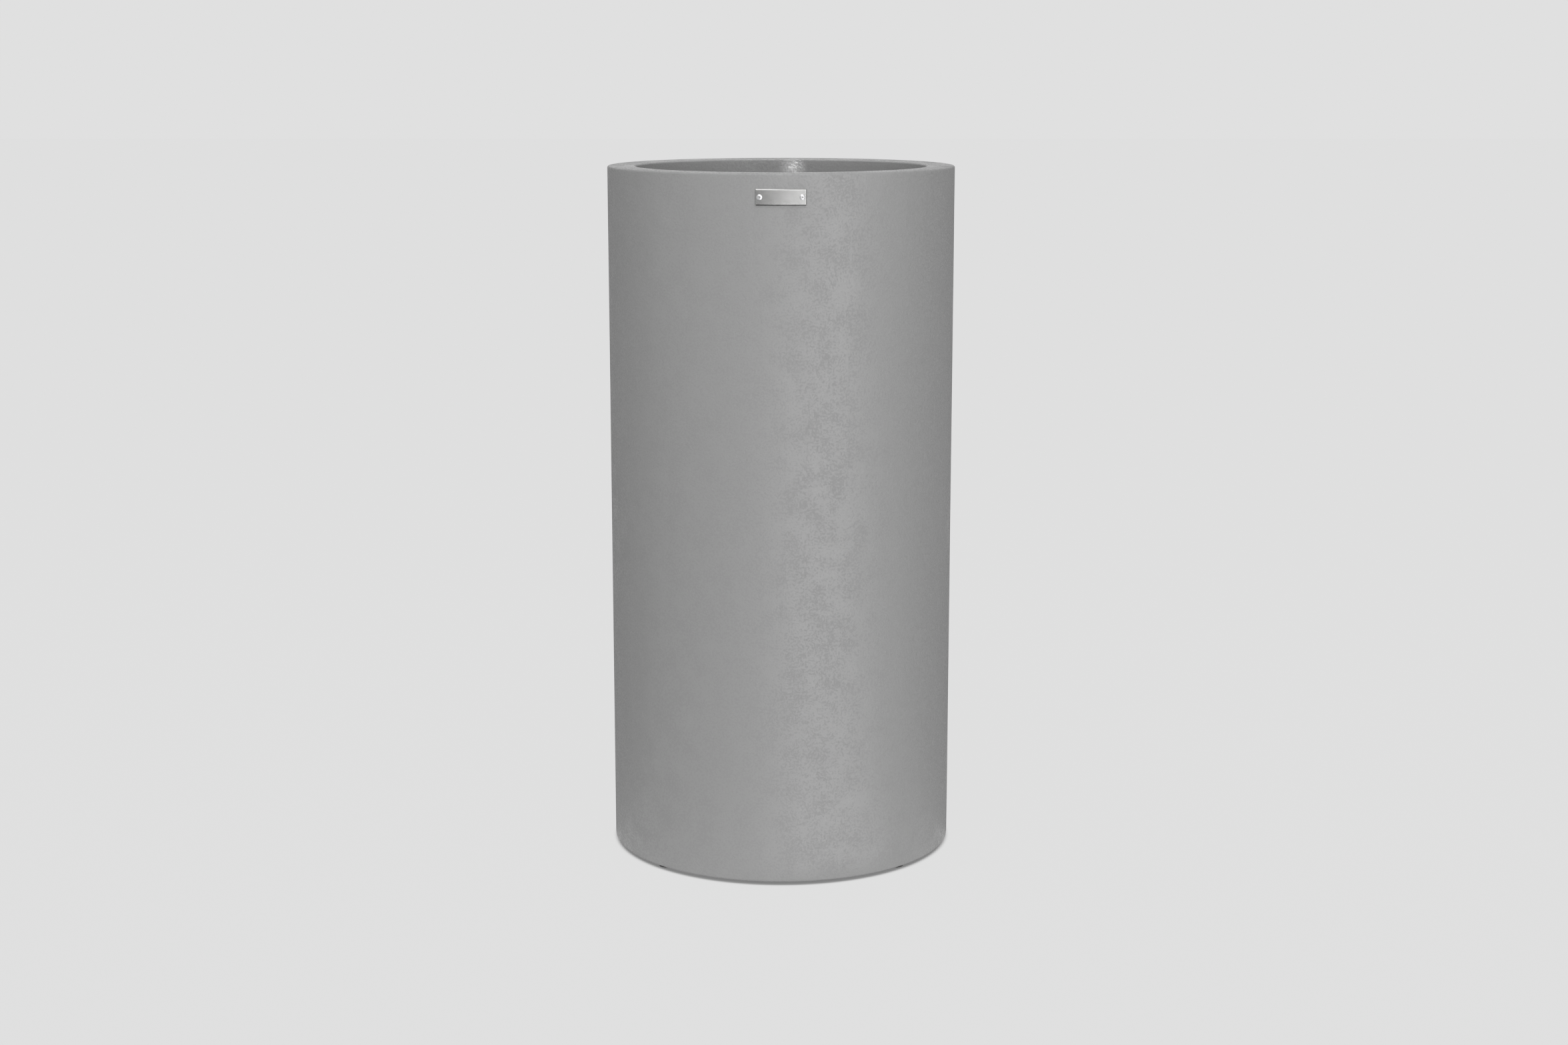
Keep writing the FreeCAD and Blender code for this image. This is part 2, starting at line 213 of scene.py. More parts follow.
def eased(corners, closed=True, steps=6):
    """Profile points of corners (across, up) or, rounded, (across, up, rounding)."""
    points = []
    for i, (across, up, *rounding) in enumerate(corners):
        here = Vector((across, up))
        at_an_end = not closed and i in (0, len(corners) - 1)
        if not rounding or at_an_end:
            points.append(here)
            continue
        before = Vector(corners[i - 1][:2]) - here
        after = Vector(corners[(i + 1) % len(corners)][:2]) - here
        half = before.angle(after) / 2
        reach = min(rounding[0] / math.tan(half), before.length * 0.49, after.length * 0.49)
        inward = (before.normalized() + after.normalized()).normalized()
        centre = here + inward * reach / math.cos(half)
        start = here + before.normalized() * reach - centre
        end = here + after.normalized() * reach - centre
        sweep = start.angle(end)
        for s in range(steps + 1):
            share = s / steps
            blend = start * math.sin((1 - share) * sweep) + end * math.sin(share * sweep)
            points.append(centre + blend / math.sin(sweep))
    return points


def divided(points, spacing, closed=True):
    """The same profile with its long straight runs cut to about that spacing."""
    cut = []
    for i, point in enumerate(points):
        cut.append(point)
        if i == len(points) - 1 and not closed:
            break
        after = points[(i + 1) % len(points)]
        pieces = max(1, round((after - point).length / spacing))
        cut += [point.lerp(after, n / pieces) for n in range(1, pieces)]
    return cut


def turned(profile_at, segments):
    """Points and faces of a profile turned about Z. profile_at(angle) gives (radius, height) pairs."""
    points = []
    faces = []
    columns = []
    on_axis = {}
    for i in range(segments):
        angle = math.tau * i / segments
        column = []
        for j, (radius, height) in enumerate(profile_at(angle)):
            if radius < 1e-9 and j in on_axis:
                column.append(on_axis[j])
                continue
            if radius < 1e-9:
                on_axis[j] = len(points)
            column.append(len(points))
            points.append(Vector((radius * math.cos(angle), radius * math.sin(angle), height)))
        columns.append(column)
    for i, column in enumerate(columns):
        following = columns[(i + 1) % segments]
        for j in range(len(column) - bool(on_axis)):
            k = (j + 1) % len(column)
            face = list(dict.fromkeys((column[j], following[j], following[k], column[k])))
            if len(face) > 2:
                faces.append(face)
    return points, faces


def ring_faces(rings, count):
    """Faces between neighbouring rings of count points each."""
    faces = []
    for start in range(0, (rings - 1) * count, count):
        for n in range(count):
            m = (n + 1) % count
            faces.append([start + n, start + m, start + count + m, start + count + n])
    return faces


def moved(form, matrix):
    """The same points and faces, moved."""
    points, faces = form
    return [matrix @ p for p in points], faces


def joined(*forms):
    """Several forms as one list of points and one of faces."""
    points = []
    faces = []
    for some_points, some_faces in forms:
        start = len(points)
        points += some_points
        faces += [[start + n for n in face] for face in some_faces]
    return points, faces


def patchy(point, span, seed):
    """Smooth unevenness from -1 to 1 with patches about span across, the same on every run."""
    return noise.noise(point / span + Vector((seed, 2.7 * seed, -1.3 * seed)))


def ramp(value, low, high):
    """0 below low, 1 above high, with a smooth rise between."""
    share = min(1.0, max(0.0, (value - low) / (high - low)))
    return share * share * (3 - 2 * share)


def reshaped(form, shift):
    """The form with each point moved outwards and up by what shift(point) gives."""
    points, faces = form
    shaped = []
    for point in points:
        outwards, up = shift(point)
        flat = Vector((point.x, point.y, 0.0))
        away = flat.normalized() * outwards if flat.length > 1e-9 else Vector((0.0, 0.0, 0.0))
        shaped.append(point + away + Vector((0.0, 0.0, up)))
    return shaped, faces


def make_piece(name, form, materials, body, nodes, coat_at=None, crease=32.0):
    """Turns points and faces into a piece that rides on a body and stands for CAD nodes."""
    mesh = bpy.data.meshes.new(name)
    points, faces = form
    mesh.from_pydata([tuple(p) for p in points], [], faces)
    shell = bmesh.new()
    shell.from_mesh(mesh)
    bmesh.ops.recalc_face_normals(shell, faces=shell.faces)
    shell.to_mesh(mesh)
    shell.free()
    for material in materials:
        mesh.materials.append(material)
    if coat_at:
        for polygon in mesh.polygons:
            polygon.material_index = coat_at(polygon.center)
    mesh.shade_smooth()
    mesh.set_sharp_from_angle(angle=math.radians(crease))
    piece = bpy.data.objects.new(name, mesh)
    bpy.context.scene.collection.objects.link(piece)
    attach(piece, body)
    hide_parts(*nodes)
    return piece


# ---------------------------------------------------------------- materials

def add(tree, kind, inputs=None, **settings):
    """Adds a shader node. inputs gives each socket a value, or the socket that is linked to it."""
    made = tree.nodes.new("ShaderNode" + kind)
    for name, value in settings.items():
        setattr(made, name, value)
    for socket, value in (inputs or {}).items():
        if isinstance(value, bpy.types.NodeSocket):
            tree.links.new(value, made.inputs[socket])
        else:
            made.inputs[socket].default_value = value
    return made


def grain(tree, place, span, detail):
    """Noise from 0 to 1 with patches about span across."""
    made = add(tree, "TexNoise", {"Vector": place, "Scale": 1 / span, "Detail": detail})
    return made.outputs["Fac"]


def cells(tree, place, span):
    """Distance to the middle of the nearest of many cells about span across."""
    return add(tree, "TexVoronoi", {"Vector": place, "Scale": 1 / span}).outputs["Distance"]


def scaled(tree, value, factor, plus, **settings):
    """value times factor, plus a number or another value."""
    made = add(tree, "Math", {0: value, 1: factor, 2: plus}, operation="MULTIPLY_ADD", **settings)
    return made.outputs[0]


def mapped(tree, value, taken=(0.0, 1.0), given=(0.0, 1.0), **settings):
    """The value, with the range taken laid onto the range given."""
    made = add(tree, "MapRange", {
        "Value": value,
        "From Min": taken[0],
        "From Max": taken[1],
        "To Min": given[0],
        "To Max": given[1],
    }, **settings)
    return made.outputs["Result"]


def new_material(name):
    """An empty material, its node tree and the object's own coordinates in metres."""
    material = bpy.data.materials.new(name)
    material.use_nodes = True
    tree = material.node_tree
    tree.nodes.clear()
    return material, tree, add(tree, "TexCoord").outputs["Object"]


def surface(tree, colour, roughness, height, depth, constants):
    """Principled surface. height is a relief from 0 to 1 and depth what 1 stands for, in metres."""
    relief = add(tree, "Bump", {"Strength": 1.0, "Distance": depth, "Height": height})
    sockets = {"Base Color": colour, "Roughness": roughness, "Normal": relief.outputs["Normal"]}
    shader = add(tree, "BsdfPrincipled", {**sockets, **constants})
    add(tree, "OutputMaterial", {"Surface": shader.outputs["BSDF"]})


def two_tone(tree, factor, first, second):
    """Colour that goes from first to second as factor goes from 0 to 1."""
    mix = add(tree, "Mix", {0: factor, 6: rgba(first), 7: rgba(second)}, data_type="RGBA")
    return mix.outputs[2]


def pebbled_gelcoat(colours):
    """Polyester gelcoat sprayed into a pebble-textured mould, then waxed."""
    # Gives the eye an even neutral grey, a broad soft sheen, and a speckle of 3 to 5 mm that shows
    # only inside a highlight, where burnished tops shine between dull hollows.
    if "pebbled_gelcoat" in bpy.data.materials:
        return bpy.data.materials["pebbled_gelcoat"]
    material, tree, place = new_material("pebbled_gelcoat")
    swell = grain(tree, place, 30 * MM, 1.0)
    pebble = add(tree, "TexVoronoi", {"Vector": place, "Scale": 1 / (5 * MM), "Smoothness": 0.6},
                 feature="SMOOTH_F1")
    dimple = grain(tree, place, 2.8 * MM, 1.5)
    # Each factor is a relief in mm, from the lowest to the highest that the pattern can give.
    pebbles = scaled(tree, pebble.outputs["Distance"], -0.15, 0.0)
    dimples = scaled(tree, dimple, 0.25, pebbles)
    height = scaled(tree, swell, 0.6, dimples)
    cloud = grain(tree, place, 35 * MM, 3.0)
    tone = scaled(tree, dimple, 0.5, -0.25)
    mixed = add(tree, "Math", {0: cloud, 1: tone}, operation="ADD", use_clamp=True)
    colour = two_tone(tree, mixed.outputs[0], colours.gelcoat_shade, colours.gelcoat)
    # The tops of the pebbles are burnished and the hollows between them dull.
    worn = scaled(tree, cloud, 0.5, dimple)
    rough = mapped(tree, worn, (0.67, 0.83), (0.9, 0.3))
    surface(tree, colour, rough, height, 1 * MM, {"IOR": 1.5})
    return material


def unrolled(tree, place, radius):
    """Coordinates of a round wall laid out flat: arc length, height."""
    parts = add(tree, "SeparateXYZ", {"Vector": place})
    angle = add(tree, "Math", {0: parts.outputs["X"], 1: parts.outputs["Y"]}, operation="ARCTAN2")
    arc = add(tree, "Math", {0: angle.outputs[0], 1: radius}, operation="MULTIPLY")
    flat = add(tree, "CombineXYZ", {"X": arc.outputs[0], "Y": parts.outputs["Z"]})
    return flat.outputs["Vector"]


def coated_laminate(name, colours, radius=None):
    """Chopped strand mat wetted out by hand and brushed over with grey flow coat."""
    # Gives the eye a dull uneven grey with short crossing strands, about 1.5 mm wide and 50 mm
    # long, that stand up a little and look paler. The strands are drawn half as wide again as
    # real ones so that they show.
    if name in bpy.data.materials:
        return bpy.data.materials[name]
    material, tree, place = new_material(name)
    flat = unrolled(tree, place, radius) if radius else place
    relief = None
    for number, degrees in enumerate((8, 52, 97, 141)):
        laid = add(tree, "Mapping", {
            "Vector": flat,
            "Location": (0.37 * number, 0.11 * number, 0.0),
            "Rotation": (0.0, 0.0, math.radians(degrees)),
            "Scale": (34 * MM, 2.3 * MM, 1.0),
        }, vector_type="TEXTURE")
        threads = add(tree, "TexNoise", {"Vector": laid.outputs[0], "Scale": 1.0, "Detail": 1.5},
                      noise_dimensions="2D")
        strand = mapped(tree, threads.outputs["Fac"], (0.52, 0.72), interpolation_type="SMOOTHSTEP")
        if relief is None:
            relief = strand
        else:
            highest = add(tree, "Math", {0: relief, 1: strand, 2: 0.3}, operation="SMOOTH_MAX")
            relief = highest.outputs[0]
    pool = grain(tree, place, 30 * MM, 3.0)
    shown = scaled(tree, relief, 0.55, -0.1, use_clamp=True)
    colour = two_tone(tree, shown, colours.flow_coat, colours.strand)
    rough = mapped(tree, pool, given=(0.42, 0.66))
    height = scaled(tree, pool, 1.2, relief)
    surface(tree, colour, rough, height, 0.35 * MM, {"IOR": 1.52})
    return material


def bonding_paste(colours):
    """Filled polyester paste, squeezed out and smoothed with a finger."""
    # Gives the eye a chalky off-white with pinholes, darkened as painted shade, and faint drag marks.
    material, tree, place = new_material("bonding_paste")
    drag = grain(tree, place, 6 * MM, 4.0)
    pit = mapped(tree, cells(tree, place, 5 * MM), (0.08, 0.2))
    height = scaled(tree, drag, 1.0, pit)
    # The pinholes are coloured darker as well: painted shade in the hollows.
    colour = two_tone(tree, pit, linear("#6f6c66"), colours.paste)
    rough = mapped(tree, drag, given=(0.55, 0.8))
    surface(tree, colour, rough, height, 0.4 * MM, {"IOR": 1.5})
    return material


def moulded_rubber(colours):
    """Black natural rubber from a spark-eroded mould."""
    # Gives the eye a deep soft black with a fine matt grain and a faint grey bloom.
    if "moulded_rubber" in bpy.data.materials:
        return bpy.data.materials["moulded_rubber"]
    material, tree, place = new_material("moulded_rubber")
    bloom = grain(tree, place, 11 * MM, 4.0)
    fine = grain(tree, place, 0.7 * MM, 2.0)
    where = mapped(tree, bloom, (0.42, 0.75))
    colour = two_tone(tree, where, colours.rubber, colours.rubber_bloom)
    rough = mapped(tree, bloom, given=(0.5, 0.72))
    surface(tree, colour, rough, fine, 0.08 * MM, {"IOR": 1.52, "Specular IOR Level": 0.4})
    return material


def brushed_stainless(colours):
    """Stainless steel sheet, brushed along its length and left uncoated."""
    # Gives the eye a bright neutral metal with fine level lines that stretch reflections upright.
    # Real brushing lines are 0.1 mm; these are 0.5 mm so that they show.
    material, tree, place = new_material("brushed_stainless")
    along = add(tree, "Mapping", {"Vector": place, "Scale": (14 * MM, 14 * MM, 0.5 * MM)},
                vector_type="TEXTURE")
    lines = grain(tree, along.outputs[0], 1.0, 3.0)
    smudge = grain(tree, place, 9 * MM, 3.0)
    dull = tuple(0.86 * share for share in colours.stainless)
    colour = two_tone(tree, lines, dull, colours.stainless)
    rough = mapped(tree, smudge, given=(0.16, 0.25))
    surface(tree, colour, rough, lines, 0.02 * MM, {"Metallic": 1.0})
    return material


def drawn_aluminium(colours):
    """Soft aluminium of a blind rivet, upset and burnished by the setting tool."""
    # Gives the eye a pale, slightly blue metal, smoother on the dome and dull in its handling marks.
    material, tree, place = new_material("drawn_aluminium")
    mark = grain(tree, place, 1.1 * MM, 3.0)
    dull = tuple(0.82 * share for share in colours.aluminium)
    colour = two_tone(tree, mark, dull, colours.aluminium)
    rough = mapped(tree, mark, given=(0.24, 0.42))
    surface(tree, colour, rough, mark, 0.04 * MM, {"Metallic": 1.0})
    return material


def broken_steel(colours):
    """Zinc-plated steel stem, torn off at its notch."""
    # Gives the eye a dark grey, coarse, crystalline end inside the bright rivet.
    material, tree, place = new_material("broken_steel")
    crystal = cells(tree, place, 0.45 * MM)
    dark = tuple(0.6 * share for share in colours.mandrel)
    colour = two_tone(tree, crystal, dark, colours.mandrel)
    rough = mapped(tree, crystal, given=(0.4, 0.65))
    surface(tree, colour, rough, crystal, 0.12 * MM, {"Metallic": 1.0})
    return material


# ---------------------------------------------------------------- pieces

class PLANTER_OT_wall(bpy.types.Operator):
    """Build the laminated cylinder wall with its foot turned inwards"""
    bl_idname = "planter.wall"
    bl_label = "Cylinder wall"

    SEGMENTS = 480
    RING_SPACING = 12 * MM
    FOOT_ROUNDING = 1 * MM
    INSIDE_SWELL = 0.35 * MM
    INSIDE_SPAN = 34 * MM
    FADE = 25 * MM

    def execute(self, context):
        size = context.scene.vessel_sizes
        badge = context.scene.badge_sizes
        bore = size.radius - size.wall
        outline = eased([
            (size.radius, size.wall_bottom, size.edge),
            (size.radius, size.wall_top),
            (bore, size.wall_top),
            (bore, size.foot_top + size.cove),
            (bore - size.cove, size.foot_top),
            (size.foot_inner, size.foot_top, self.FOOT_ROUNDING),
            (size.foot_inner, size.wall_bottom, self.FOOT_ROUNDING),
        ], steps=8)
        outline = divided(outline, self.RING_SPACING)
        badge_centre = Vector((0.0, -size.radius, badge.middle))

        def shift(point):
            radius = math.hypot(point.x, point.y)
            low = ramp(point.z, size.foot_top + size.cove, size.foot_top + size.cove + self.FADE)
            high = 1 - ramp(point.z, size.wall_top - 2 * self.FADE, size.wall_top - 2 * MM)
            if radius > bore + size.wall / 2:
                clear = ramp((point - badge_centre).length, badge.width / 2, badge.width)
                wave = patchy(point, size.swell_span, 4.0) * size.swell / 2
                return wave * clear * low * high, 0.0
            wave = patchy(point, self.INSIDE_SPAN, 9.0) * self.INSIDE_SWELL
            return wave * low * high, 0.0

        def coat_at(centre):
            outside = math.hypot(centre.x, centre.y) > bore + size.wall / 2
            return 0 if outside or centre.z < size.foot_top - 0.1 * MM else 1

        form = reshaped(turned(lambda angle: outline, self.SEGMENTS), shift)
        colours = context.scene.finishes
        materials = [pebbled_gelcoat(colours), coated_laminate("coated_wall_laminate", colours, bore)]
        make_piece("planter_wall", form, materials, "vessel", ["cylinder_wall"],
                   coat_at)
        return {"FINISHED"}


class PLANTER_OT_rim(bpy.types.Operator):
    """Build the laminated rim: flat top, return inside the mouth and skirt inside the wall"""
    bl_idname = "planter.rim"
    bl_label = "Rim ring"

    SEGMENTS = 480
    RING_SPACING = 8 * MM
    TRIM_ROUNDING = 0.4 * MM

    def execute(self, context):
        size = context.scene.vessel_sizes
        bore = size.radius - size.wall
        skirt = bore - size.skirt
        back = size.mouth + size.return_wall
        bevel = size.return_bevel
        trimmed = self.TRIM_ROUNDING
        outline = eased([
            (size.radius, size.wall_top),
            (size.radius, size.rim_top, size.edge),
            (size.mouth, size.rim_top, size.edge),
            (size.mouth, size.return_end + bevel, trimmed),
            (size.mouth + bevel, size.return_end, trimmed),
            (back - bevel, size.return_end, trimmed),
            (back, size.return_end + bevel, trimmed),
            (back, size.wall_top, 2 * size.cove),
            (skirt, size.wall_top, 2 * size.cove),
            (skirt, size.skirt_end, trimmed),
            (bore, size.skirt_end),
            (bore, size.wall_top),
        ], steps=8)
        outline = divided(outline, self.RING_SPACING)

        def coat_at(centre):
            radius = math.hypot(centre.x, centre.y)
            moulded = centre.z > size.wall_top + 0.1 * MM or radius < size.mouth + 0.1 * MM
            return 0 if moulded else 1

        colours = context.scene.finishes
        materials = [pebbled_gelcoat(colours), coated_laminate("coated_wall_laminate", colours, bore)]
        make_piece("planter_rim", turned(lambda angle: outline, self.SEGMENTS), materials, "vessel",
                   ["rim_ring"], coat_at)
        return {"FINISHED"}


class PLANTER_OT_rim_paste(bpy.types.Operator):
    """Build the hand-smoothed bead of paste under the rim's skirt"""
    bl_idname = "planter.rim_paste"
    bl_label = "Rim paste bead"

    SEGMENTS = 720
    WANDER = 0.9 * MM
    FACE = 1.4 * MM
    TOE = 1.2 * MM
    ROUNDING = 1 * MM

    def execute(self, context):
        size = context.scene.vessel_sizes
        bore = size.radius - size.wall
        skirt = bore - size.skirt

        def outline(angle):
            around = Vector((math.cos(angle), math.sin(angle), 0.0)) * bore
            end = BEAD_LOW.z + self.WANDER * patchy(around, 26 * MM, 3.0)
            bulge = 0.5 * self.WANDER * patchy(around, 14 * MM, 8.0)
            return eased([
                (bore, size.skirt_end),
                (skirt, size.skirt_end),
                (skirt + bulge, size.skirt_end - self.FACE, self.ROUNDING),
                (bore - self.TOE, end, self.ROUNDING),
                (bore, end),
            ], steps=5)

        make_piece("rim_paste_bead", turned(outline, self.SEGMENTS),
                   [bonding_paste(context.scene.finishes)], "vessel", ["rim_bond"])
        return {"FINISHED"}


class PLANTER_OT_floor(bpy.types.Operator):
    """Build the laminated floor, dished towards its drain"""
    bl_idname = "planter.floor"
    bl_label = "Floor disc"

    SEGMENTS = 288
    RING_SPACING = 7 * MM
    DISH_ROUNDING = 40 * MM
    SEAT_ROUNDING = 12 * MM
    DRAIN_ROUNDING = 0.6 * MM
    UNEVEN = 0.3 * MM
    UNEVEN_SPAN = 38 * MM
    EVEN_BY_SEAT = 20 * MM
    EVEN_BY_TAPE = 12 * MM

    def execute(self, context):
        size = context.scene.floor_sizes
        outline = divided(eased([
            (size.disc_radius, size.disc_top - size.disc_wall),
            (size.disc_radius, size.disc_top),
            (size.dish_radius, size.disc_top, self.DISH_ROUNDING),
            (size.seat_radius, size.seat, self.SEAT_ROUNDING),
            (size.drain_radius, size.seat, self.DRAIN_ROUNDING),
            (size.drain_radius, size.seat - size.disc_wall, self.DRAIN_ROUNDING),
            (size.seat_radius, size.seat - size.disc_wall, self.SEAT_ROUNDING),
            (size.dish_radius, size.disc_top - size.disc_wall, self.DISH_ROUNDING),
        ], steps=5), self.RING_SPACING)

        def shift(point):
            radius = math.hypot(point.x, point.y)
            inner = ramp(radius, size.seat_radius, size.seat_radius + self.EVEN_BY_SEAT)
            outer = 1 - ramp(radius, size.tape_end - self.EVEN_BY_TAPE, size.tape_end)
            wave = patchy(point, self.UNEVEN_SPAN, 6.0) * self.UNEVEN
            return 0.0, wave * inner * outer

        form = reshaped(turned(lambda angle: outline, self.SEGMENTS), shift)
        make_piece("planter_floor", form,
                   [coated_laminate("coated_floor_laminate", context.scene.finishes)],
                   "vessel", ["floor_disc"])
        return {"FINISHED"}


class PLANTER_OT_glass_tape(bpy.types.Operator):
    """Build the hand-laid glass tape that ties the floor to the wall"""
    bl_idname = "planter.glass_tape"
    bl_label = "Glass tape"

    SEGMENTS = 600
    LENGTHS = 3
    LAP_STEP = 0.7 * MM
    LAP_FADE = 2 * MM
    UNEVEN = 0.25 * MM
    EDGE = 1.2 * MM
    EDGE_ROUNDING = 0.5 * MM
    FEATHER = 5 * MM
    FEATHER_ROUNDING = 4 * MM

    def execute(self, context):
        vessel = context.scene.vessel_sizes
        size = context.scene.floor_sizes
        bore = vessel.radius - vessel.wall
        face = bore - size.tape

        def lap_at(angle):
            """How far the tape is doubled here, from 0 to 1."""
            turn = (angle * self.LENGTHS / math.tau + 0.35) % 1.0
            arc = abs(turn - 0.5) * math.tau * bore / self.LENGTHS
            return 1 - ramp(arc, size.tape_lap / 2, size.tape_lap / 2 + self.LAP_FADE)

        def outline(angle):
            around = Vector((math.cos(angle), math.sin(angle), 0.0)) * bore
            thicker = self.LAP_STEP * lap_at(angle) + self.UNEVEN * patchy(around, 22 * MM, 1.5)
            end = size.tape_end + size.tape_waver * patchy(around, 40 * MM, 5.0)
            top = size.tape_top + size.tape_waver * patchy(around, 36 * MM, 7.0)
            floor = size.disc_top + size.tape + thicker
            wall = face - thicker
            return eased([
                (size.disc_radius, vessel.foot_top),
                (bore - vessel.cove, vessel.foot_top),
                (bore, vessel.foot_top + vessel.cove),
                (bore, top),
                (wall + self.EDGE, top, self.EDGE_ROUNDING),
                (wall, top - self.FEATHER, self.FEATHER_ROUNDING),
                (wall, floor, size.tape_cove),
                (end + self.FEATHER, floor, self.FEATHER_ROUNDING),
                (end, floor - self.EDGE, self.EDGE_ROUNDING),
                (end, size.disc_top),
                (size.disc_radius, size.disc_top),
            ], steps=6)

        make_piece("glass_tape", turned(outline, self.SEGMENTS),
                   [coated_laminate("coated_floor_laminate", context.scene.finishes)],
                   "vessel", ["floor_bond"])
        return {"FINISHED"}


class PLANTER_OT_plug(bpy.types.Operator):
    """Build the rubber drain plug with its pull tab"""
    bl_idname = "planter.plug"
    bl_label = "Drain plug"

    SEGMENTS = 96
    GROOVE_IN = 5.8 * MM
    GROOVE_HALF = 0.7 * MM
    GROOVE_DEPTH = 0.35 * MM
    ROOF = 5 * MM
    LEAD = 1 * MM
    SMALL_ROUNDING = 0.8 * MM
    TAB_LEVELS = 26
    TAB_BELOW_HEAD = 8
    TAB_AROUND = 48
    TAB_SINK = 0.4 * MM
    WIDTH_POWER = 0.55
    THICKNESS_POWER = 0.75
    HEAD_POWER = 8

    def execute(self, context):
        size = context.scene.floor_sizes
        flange_top = size.seat + size.flange
        groove = size.flange_radius - self.GROOVE_IN
        bung = eased([
            (0.0, flange_top),
            (groove - self.GROOVE_HALF, flange_top, 1 * MM),
            (groove, flange_top - self.GROOVE_DEPTH, 0.3 * MM),
            (groove + self.GROOVE_HALF, flange_top, 1 * MM),
            (size.flange_radius, flange_top, size.flange / 2),
            (size.flange_radius, size.seat, 0.5 * MM),
            (size.neck_radius, size.seat),
            (size.tip_radius, PLUG_LOW.z + self.LEAD, self.SMALL_ROUNDING),
            (size.tip_radius - self.LEAD, PLUG_LOW.z, self.SMALL_ROUNDING),
            (size.hollow_radius, PLUG_LOW.z, 0.6 * MM),
            (size.hollow_radius, flange_top - self.ROOF, 1.5 * MM),
            (0.0, flange_top - self.ROOF),
        ], closed=False)
        form = joined(turned(lambda angle: bung, self.SEGMENTS), self.tab(size, flange_top))
        make_piece("drain_bung", form, [moulded_rubber(context.scene.finishes)], "plug",
                   ["drain_plug"], crease=40)
        return {"FINISHED"}

    def tab(self, size, flange_top):
        """Level rings of a blade with a half-round head, bull-nosed edges and a flared root."""
        half_width = size.tab_width / 2
        half_thick = size.tab_thickness / 2
        root = flange_top - self.TAB_SINK
        shoulder = PLUG_HIGH.z - half_width
        below = self.TAB_BELOW_HEAD
        levels = [root + (shoulder - root) * n / below for n in range(below)]
        head = self.TAB_LEVELS - len(levels)
        levels += [shoulder + half_width * math.sin(n / head * math.pi / 2) for n in range(head)]
        points = []
        for height in levels:
            flare = size.tab_flare * max(0.0, 1 - (height - root) / (2 * size.tab_flare)) ** 2
            above = max(0.0, height - shoulder) / half_width
            reach = half_width * math.sqrt(max(0.0, 1 - above ** 2))
            thick = half_thick * math.sqrt(max(0.0, 1 - above ** self.HEAD_POWER))
            for n in range(self.TAB_AROUND):
                angle = math.tau * n / self.TAB_AROUND
                x = math.copysign(abs(math.cos(angle)) ** self.WIDTH_POWER, math.cos(angle))
                y = math.copysign(abs(math.sin(angle)) ** self.THICKNESS_POWER, math.sin(angle))
                points.append(Vector(((reach + flare) * x, (thick + flare) * y, height)))
        faces = ring_faces(len(levels), self.TAB_AROUND)
        peak = len(points)
        points += [Vector((0.0, 0.0, PLUG_HIGH.z)), Vector((0.0, 0.0, root))]
        last = (len(levels) - 1) * self.TAB_AROUND
        for n in range(self.TAB_AROUND):
            m = (n + 1) % self.TAB_AROUND
            faces += [[last + n, last + m, peak], [m, n, peak + 1]]
        return points, faces


class PLANTER_OT_pads(bpy.types.Operator):
    """Build the four rubber pads under the foot"""
    bl_idname = "planter.pads"
    bl_label = "Foot pads"

    SEGMENTS = 64
    COUNT = 4
    FIRST_ANGLE = 45
    BOTTOM_ROUNDING = 0.5 * MM
    TOP_ROUNDING = 0.3 * MM

    def execute(self, context):
        size = context.scene.floor_sizes
        outline = eased([
            (0.0, PADS_LOW.z),
            (size.pad_radius - size.pad_taper, PADS_LOW.z, self.BOTTOM_ROUNDING),
            (size.pad_radius, PADS_HIGH.z, self.TOP_ROUNDING),
            (0.0, PADS_HIGH.z),
        ], closed=False)
        pad = turned(lambda angle: outline, self.SEGMENTS)
        out = Matrix.Translation((size.pad_circle, 0.0, 0.0))
        turns = [math.radians(self.FIRST_ANGLE + 360 * n / self.COUNT) for n in range(self.COUNT)]
        pads = [moved(pad, Matrix.Rotation(turn, 4, "Z") @ out) for turn in turns]
        make_piece("rubber_pads", joined(*pads), [moulded_rubber(context.scene.finishes)],
                   "vessel", ["foot_pads"])
        return {"FINISHED"}


